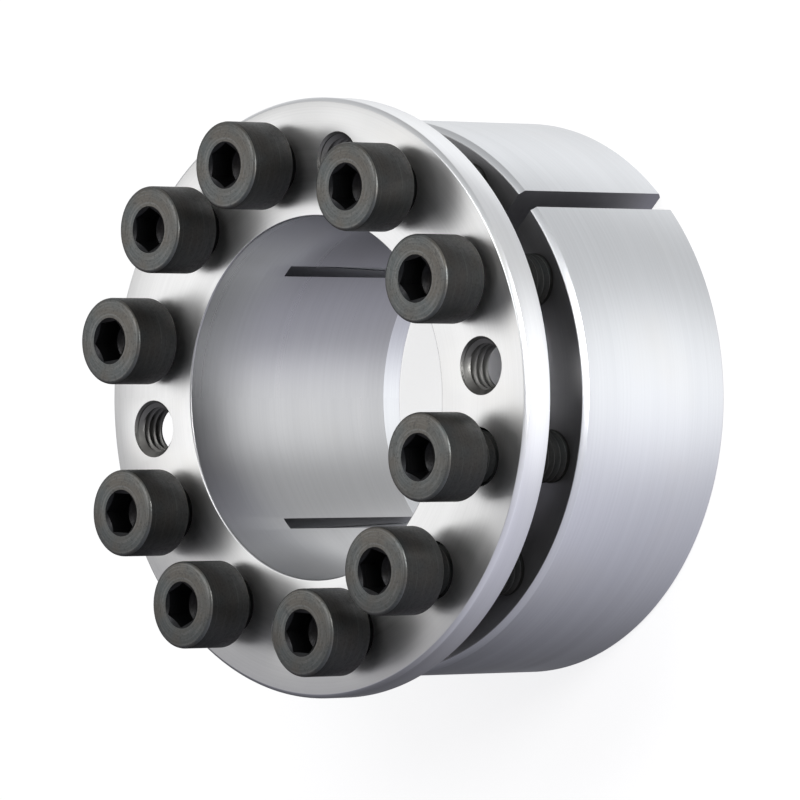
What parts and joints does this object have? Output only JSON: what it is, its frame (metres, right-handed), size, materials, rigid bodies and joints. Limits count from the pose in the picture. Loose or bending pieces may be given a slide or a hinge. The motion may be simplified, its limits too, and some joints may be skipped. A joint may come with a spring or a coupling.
{
  "type": "shaft locking assembly",
  "caption": "Keyless shaft locking assembly: a flanged split inner ring and a split outer ring on a taper, drawn together by socket head screws.",
  "frame": {"origin": "centre of the outer ring's back face, on which the device stands", "axes": "+Z along the shaft axis from the back face to the flange and screw heads, +X and +Y across it, with the outer ring's slit between them"},
  "size_m": [0.091, 0.091, 0.0583],
  "materials": {
    "ring_steel": "satin turned and ground steel",
    "screw_steel": "black oxide"
  },
  "bodies": {
    "inner_ring": {"inner_ring": "ring_steel"},
    "outer_ring": {"outer_ring": "ring_steel"},
    "clamp_screw_01": {"clamp_screw_01": "screw_steel"},
    "clamp_screw_02": {"clamp_screw_02": "screw_steel"},
    "clamp_screw_03": {"clamp_screw_03": "screw_steel"},
    "clamp_screw_04": {"clamp_screw_04": "screw_steel"},
    "clamp_screw_05": {"clamp_screw_05": "screw_steel"},
    "clamp_screw_06": {"clamp_screw_06": "screw_steel"},
    "clamp_screw_07": {"clamp_screw_07": "screw_steel"},
    "clamp_screw_08": {"clamp_screw_08": "screw_steel"},
    "clamp_screw_09": {"clamp_screw_09": "screw_steel"},
    "clamp_screw_10": {"clamp_screw_10": "screw_steel"}
  },
  "joints": [
    {"name": "clamp_screw_01_turn", "type": "hinge", "parent": "inner_ring", "child": "clamp_screw_01", "pos_m": [0.03161, 0.01764, 0.046], "axis": [0, 0, -1], "range_deg": [0, 540]},
    {"name": "clamp_screw_02_turn", "type": "hinge", "parent": "inner_ring", "child": "clamp_screw_02", "pos_m": [0.01787, 0.03148, 0.046], "axis": [0, 0, -1], "range_deg": [0, 540]},
    {"name": "clamp_screw_03_turn", "type": "hinge", "parent": "inner_ring", "child": "clamp_screw_03", "pos_m": [-0.00847, 0.03519, 0.046], "axis": [0, 0, -1], "range_deg": [0, 540]},
    {"name": "clamp_screw_04_turn", "type": "hinge", "parent": "inner_ring", "child": "clamp_screw_04", "pos_m": [-0.0255, 0.02569, 0.046], "axis": [0, 0, -1], "range_deg": [0, 540]},
    {"name": "clamp_screw_05_turn", "type": "hinge", "parent": "inner_ring", "child": "clamp_screw_05", "pos_m": [-0.03513, 0.00873, 0.046], "axis": [0, 0, -1], "range_deg": [0, 540]},
    {"name": "clamp_screw_06_turn", "type": "hinge", "parent": "inner_ring", "child": "clamp_screw_06", "pos_m": [-0.03161, -0.01764, 0.046], "axis": [0, 0, -1], "range_deg": [0, 540]},
    {"name": "clamp_screw_07_turn", "type": "hinge", "parent": "inner_ring", "child": "clamp_screw_07", "pos_m": [-0.01787, -0.03148, 0.046], "axis": [0, 0, -1], "range_deg": [0, 540]},
    {"name": "clamp_screw_08_turn", "type": "hinge", "parent": "inner_ring", "child": "clamp_screw_08", "pos_m": [0.00847, -0.03519, 0.046], "axis": [0, 0, -1], "range_deg": [0, 540]},
    {"name": "clamp_screw_09_turn", "type": "hinge", "parent": "inner_ring", "child": "clamp_screw_09", "pos_m": [0.0255, -0.02569, 0.046], "axis": [0, 0, -1], "range_deg": [0, 540]},
    {"name": "clamp_screw_10_turn", "type": "hinge", "parent": "inner_ring", "child": "clamp_screw_10", "pos_m": [0.03513, -0.00873, 0.046], "axis": [0, 0, -1], "range_deg": [0, 540]},
    {"name": "outer_ring_draw", "type": "slide", "parent": "inner_ring", "child": "outer_ring", "axis": [0, 0, 1], "range_m": [0, 0.00187]}
  ],
  "couplings": [
    {"joint": "clamp_screw_01_turn", "follows": "outer_ring_draw", "rad_per_m": 5026.5},
    {"joint": "clamp_screw_02_turn", "follows": "outer_ring_draw", "rad_per_m": 5026.5},
    {"joint": "clamp_screw_03_turn", "follows": "outer_ring_draw", "rad_per_m": 5026.5},
    {"joint": "clamp_screw_04_turn", "follows": "outer_ring_draw", "rad_per_m": 5026.5},
    {"joint": "clamp_screw_05_turn", "follows": "outer_ring_draw", "rad_per_m": 5026.5},
    {"joint": "clamp_screw_06_turn", "follows": "outer_ring_draw", "rad_per_m": 5026.5},
    {"joint": "clamp_screw_07_turn", "follows": "outer_ring_draw", "rad_per_m": 5026.5},
    {"joint": "clamp_screw_08_turn", "follows": "outer_ring_draw", "rad_per_m": 5026.5},
    {"joint": "clamp_screw_09_turn", "follows": "outer_ring_draw", "rad_per_m": 5026.5},
    {"joint": "clamp_screw_10_turn", "follows": "outer_ring_draw", "rad_per_m": 5026.5}
  ]
}
